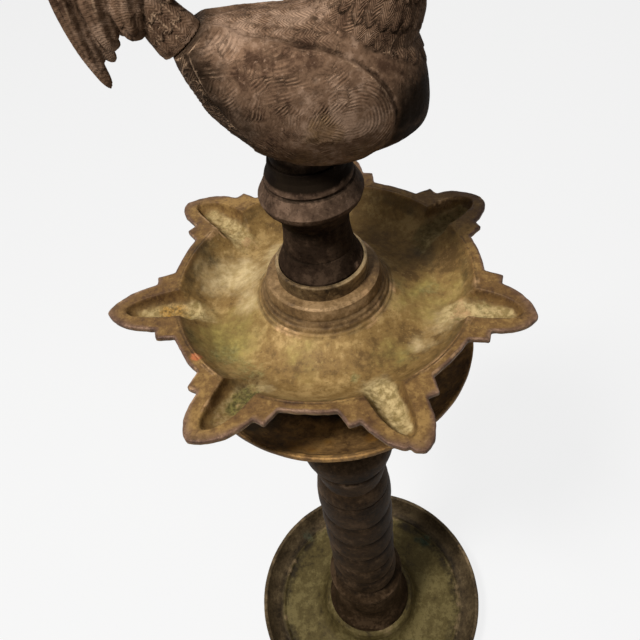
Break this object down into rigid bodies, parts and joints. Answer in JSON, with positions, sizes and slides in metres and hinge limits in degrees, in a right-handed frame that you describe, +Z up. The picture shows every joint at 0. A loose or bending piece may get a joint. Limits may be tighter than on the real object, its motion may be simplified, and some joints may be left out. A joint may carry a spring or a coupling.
{
  "type": "standing oil lamp",
  "caption": "Tall cast brass oil lamp with a dish base, a turned stem in screwed sections, a drip tray, a spouted oil pan and a screw-on post that carries a rooster.",
  "frame": {"origin": "on the lamp's vertical axis, at the level of the surface it stands on", "axes": "+Z up along the stem, +X the way the rooster faces, -Y towards the camera of the picture"},
  "size_m": [0.261, 0.261, 0.815],
  "materials": {
    "base_brass": "dull, green-brown tarnish with a rubbed rim",
    "stem_bronze": "dark brown patina, satin",
    "spindle_brass": "turned, slightly tarnished",
    "tray_brass": "brown patina with dried oil",
    "pan_brass": "mottled golden-brown patina, turned grooves, bright worn edges",
    "post_bronze": "dark brown patina, satin, worn on the collar",
    "bird_bronze": "dark brown patina with chased feathers"
  },
  "bodies": {
    "base": {"base_dish": "base_brass"},
    "lower_stem": {"stem_lower": "stem_bronze"},
    "middle_stem": {"stem_middle": "stem_bronze"},
    "upper_stem": {"stem_upper": "stem_bronze", "spindle": "spindle_brass"},
    "tray": {"drip_tray": "tray_brass"},
    "pan": {"oil_pan": "pan_brass"},
    "ring": {"seat_ring": "pan_brass"},
    "finial": {"finial_post": "post_bronze", "bird_body": "bird_bronze", "bird_tail": "bird_bronze", "tang_pin": "spindle_brass", "tail_rivet": "spindle_brass"}
  },
  "joints": [
    {"name": "column_lift", "type": "slide", "parent": "base", "child": "lower_stem", "axis": [0, 0, 1], "range_m": [0, 0.03]},
    {"name": "middle_lift", "type": "slide", "parent": "lower_stem", "child": "middle_stem", "axis": [0, 0, 1], "range_m": [0, 0.03]},
    {"name": "upper_lift", "type": "slide", "parent": "middle_stem", "child": "upper_stem", "axis": [0, 0, 1], "range_m": [0, 0.03]},
    {"name": "tray_lift", "type": "slide", "parent": "upper_stem", "child": "tray", "axis": [0, 0, 1], "range_m": [0, 0.03]},
    {"name": "pan_lift", "type": "slide", "parent": "upper_stem", "child": "pan", "axis": [0, 0, 1], "range_m": [0, 0.065]},
    {"name": "finial_rise", "type": "slide", "parent": "pan", "child": "ring", "axis": [0, 0, 1], "range_m": [0, 0.012]},
    {"name": "finial_turn", "type": "hinge", "parent": "ring", "child": "finial", "pos_m": [0, 0, 0.602], "axis": [0, 0, 1], "range_deg": [0, 1440]}
  ],
  "couplings": [
    {"joint": "finial_rise", "follows": "finial_turn", "m_per_rad": 0.00047746}
  ]
}
